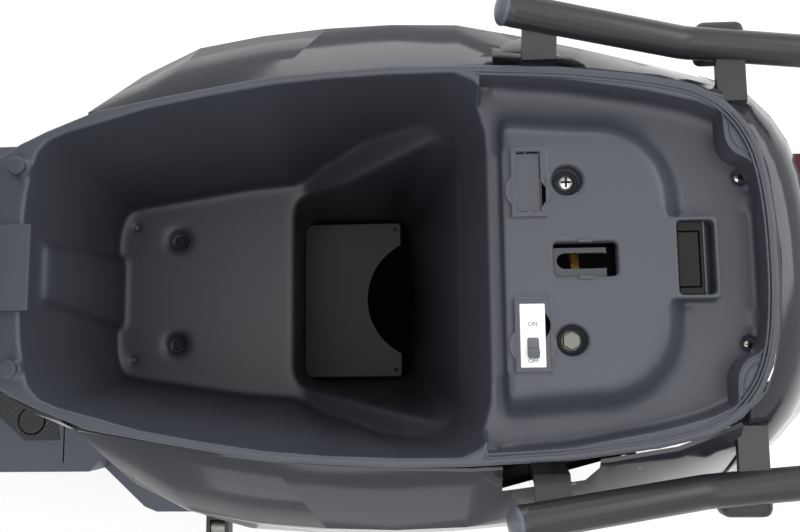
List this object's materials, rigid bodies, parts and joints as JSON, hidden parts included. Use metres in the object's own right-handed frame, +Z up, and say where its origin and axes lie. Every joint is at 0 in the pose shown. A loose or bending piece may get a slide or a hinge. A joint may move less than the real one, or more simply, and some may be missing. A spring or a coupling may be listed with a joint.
{
  "type": "seated electric scooter",
  "caption": "Seated electric scooter on its centre stand, seat swung open over a moulded storage tub, with grab rails, hub motor, steering and suspension.",
  "frame": {"origin": "on the floor under the middle of the scooter's bounding box", "axes": "+X forward along the scooter, +Y to the rider's left, +Z up"},
  "size_m": [1.732, 0.7902, 1.306],
  "materials": {
    "moulded_tub": "satin fine-grained moulded polypropylene",
    "gloss_panel": "gloss black painted",
    "satin_plastic": "satin black moulded",
    "frame_steel": "black powder coat",
    "cast_alloy": "bare cast and machined",
    "black_alloy": "satin black painted",
    "zinc_steel": "bright zinc plated",
    "yellow_zinc": "yellow passivated zinc",
    "spring_steel": "bright chromed",
    "grey_powder_steel": "dark grey satin powder coat",
    "grip_rubber": "matt rubber",
    "tyre_rubber": "matt tyre rubber",
    "seat_vinyl": "grained black seat covering",
    "breaker_white": "white moulded",
    "lens_red": "clear red lens",
    "lens_clear": "clear lens over reflector",
    "battery_case": "satin case"
  },
  "bodies": {
    "scooter_body": {"main_frame": "frame_steel", "battery_pack": "battery_case", "motor_controller": "cast_alloy", "floorboard": "satin_plastic", "belly_pan": "satin_plastic", "front_apron": "gloss_panel", "leg_shield": "satin_plastic", "headlight": "lens_clear", "seat_front_cover": "gloss_panel", "side_panel_left": "gloss_panel", "side_panel_right": "gloss_panel", "underseat_tub": "moulded_tub", "tub_floor_plate": "moulded_tub", "breaker_body": "breaker_white", "latch_housing": "zinc_steel", "seat_hinge_bracket": "frame_steel", "grab_rail_left": "grey_powder_steel", "grab_rail_right": "grey_powder_steel", "tail_cover": "gloss_panel", "tail_light": "lens_red", "rear_mudguard": "satin_plastic"},
    "steering": {"fork_upper": "frame_steel", "handlebar": "frame_steel", "grip_left": "grip_rubber", "switch_pod_left": "satin_plastic", "switch_pod_right": "satin_plastic", "instrument_cowl": "gloss_panel"},
    "fork_lower": {"fork_sliders": "cast_alloy", "front_fender": "gloss_panel", "front_caliper": "black_alloy", "front_axle": "zinc_steel"},
    "front_wheel_assembly": {"front_wheel": "black_alloy", "front_tyre": "tyre_rubber", "front_disc": "zinc_steel"},
    "rear_arm": {"swingarm": "frame_steel", "rear_axle": "zinc_steel"},
    "rear_wheel_assembly": {"hub_motor": "black_alloy", "rear_tyre": "tyre_rubber"},
    "shock_uppers": {"shock_body_left": "black_alloy", "shock_body_right": "black_alloy", "shock_spring_left": "spring_steel", "shock_spring_right": "spring_steel"},
    "shock_lowers": {"shock_rod_left": "zinc_steel", "shock_rod_right": "zinc_steel"},
    "throttle": {"throttle_grip": "grip_rubber"},
    "left_lever": {"brake_lever_left": "cast_alloy"},
    "right_lever": {"brake_lever_right": "cast_alloy"},
    "left_mirror": {"mirror_left": "satin_plastic"},
    "right_mirror": {"mirror_right": "satin_plastic"},
    "seat": {"seat_pan": "satin_plastic", "seat_cushion": "seat_vinyl", "seat_striker": "zinc_steel"},
    "hook": {"latch_hook": "yellow_zinc"},
    "toggle": {"breaker_toggle": "satin_plastic"},
    "stand": {"centre_stand": "frame_steel"},
    "left_footrest": {"footrest_left": "grip_rubber"},
    "right_footrest": {"footrest_right": "grip_rubber"},
    "key": {"ignition_key": "zinc_steel"},
    "horn": {"horn_button": "satin_plastic"},
    "indicator_switch": {"turn_switch": "satin_plastic"}
  },
  "joints": [
    {"name": "steering", "type": "hinge", "parent": "scooter_body", "child": "steering", "pos_m": [0.61828, 0, 0.20121], "axis": [-0.4226, 0, 0.9063], "range_deg": [-40, 40]},
    {"name": "fork_travel", "type": "slide", "parent": "steering", "child": "fork_lower", "axis": [-0.4226, 0, 0.9063], "range_m": [0, 0.07], "stiffness_N_per_m": 12000, "springref_m": -0.035},
    {"name": "front_wheel_spin", "type": "hinge", "parent": "fork_lower", "child": "front_wheel_assembly", "pos_m": [0.65, 0, 0.216], "axis": [0, 1, 0], "continuous": true},
    {"name": "swingarm_pivot", "type": "hinge", "parent": "scooter_body", "child": "rear_arm", "pos_m": [-0.385, 0, 0.304], "axis": [0, 1, 0], "range_deg": [0, 12], "stiffness_Nm_per_rad": 900, "springref_deg": -3.44, "deforming": ["shock_spring_left", "shock_spring_right"]},
    {"name": "rear_wheel_spin", "type": "hinge", "parent": "rear_arm", "child": "rear_wheel_assembly", "pos_m": [-0.64, 0, 0.228], "axis": [0, 1, 0], "continuous": true},
    {"name": "shock_top_pivot", "type": "hinge", "parent": "scooter_body", "child": "shock_uppers", "pos_m": [-0.575, 0.124, 0.578], "axis": [0, 1, 0], "range_deg": [0, 2.2]},
    {"name": "shock_bottom_pivot", "type": "hinge", "parent": "rear_arm", "child": "shock_lowers", "pos_m": [-0.612, 0.124, 0.262], "axis": [0, 1, 0], "range_deg": [-10.5, 0]},
    {"name": "throttle", "type": "hinge", "parent": "steering", "child": "throttle", "pos_m": [0.189, -0.28015, 1.03525], "axis": [-0.26, -0.9641, -0.0542], "range_deg": [0, 70], "stiffness_Nm_per_rad": 0.3, "springref_deg": -17.19},
    {"name": "brake_lever_left", "type": "hinge", "parent": "steering", "child": "left_lever", "pos_m": [0.2431, 0.20208, 1.0401], "axis": [-0.0141, 0.0523, 0.9985], "range_deg": [0, 12], "stiffness_Nm_per_rad": 2, "springref_deg": -8.59},
    {"name": "brake_lever_right", "type": "hinge", "parent": "steering", "child": "right_lever", "pos_m": [0.2431, -0.20208, 1.0401], "axis": [0.0141, 0.0523, -0.9985], "range_deg": [0, 12], "stiffness_Nm_per_rad": 2, "springref_deg": -8.59},
    {"name": "mirror_left_turn", "type": "hinge", "parent": "steering", "child": "left_mirror", "pos_m": [0.20833, 0.20847, 1.06221], "axis": [0, 0, 1], "range_deg": [-25, 25]},
    {"name": "mirror_right_turn", "type": "hinge", "parent": "steering", "child": "right_mirror", "pos_m": [0.20833, -0.20847, 1.06221], "axis": [0, 0, 1], "range_deg": [-25, 25]},
    {"name": "seat_hinge", "type": "hinge", "parent": "scooter_body", "child": "seat", "pos_m": [-0.118, 0, 0.712], "axis": [0, 1, 0], "range_deg": [-97, 0]},
    {"name": "latch_hook", "type": "hinge", "parent": "scooter_body", "child": "hook", "pos_m": [-0.561, 0.034, 0.627], "axis": [1, 0, 0], "range_deg": [-32, 0], "stiffness_Nm_per_rad": 0.05, "springref_deg": 17.19},
    {"name": "breaker_toggle", "type": "hinge", "parent": "scooter_body", "child": "toggle", "pos_m": [-0.5225, 0.06, 0.6795], "axis": [1, 0, 0], "range_deg": [0, 60]},
    {"name": "centre_stand", "type": "hinge", "parent": "scooter_body", "child": "stand", "pos_m": [-0.33, 0, 0.25], "axis": [0, 1, 0], "range_deg": [0, 80]},
    {"name": "footrest_left_fold", "type": "hinge", "parent": "scooter_body", "child": "left_footrest", "pos_m": [-0.217, 0.234, 0.34], "axis": [1, 0, 0], "range_deg": [0, 85]},
    {"name": "footrest_right_fold", "type": "hinge", "parent": "scooter_body", "child": "right_footrest", "pos_m": [-0.217, -0.234, 0.34], "axis": [1, 0, 0], "range_deg": [-85, 0]},
    {"name": "key_turn", "type": "hinge", "parent": "scooter_body", "child": "key", "pos_m": [0.245, -0.092, 0.8], "axis": [1, 0, 0], "range_deg": [0, 90]},
    {"name": "horn_press", "type": "slide", "parent": "steering", "child": "horn", "axis": [0.9655, 0.2604, 0], "range_m": [0, 0.002], "stiffness_N_per_m": 400, "springref_m": -0.002},
    {"name": "turn_switch_slide", "type": "slide", "parent": "steering", "child": "indicator_switch", "axis": [-0.26, 0.9641, -0.0542], "range_m": [-0.004, 0.004]}
  ],
  "couplings": [
    {"joint": "shock_top_pivot", "follows": "swingarm_pivot", "ratio": 0.165},
    {"joint": "shock_bottom_pivot", "follows": "swingarm_pivot", "ratio": -0.835}
  ]
}
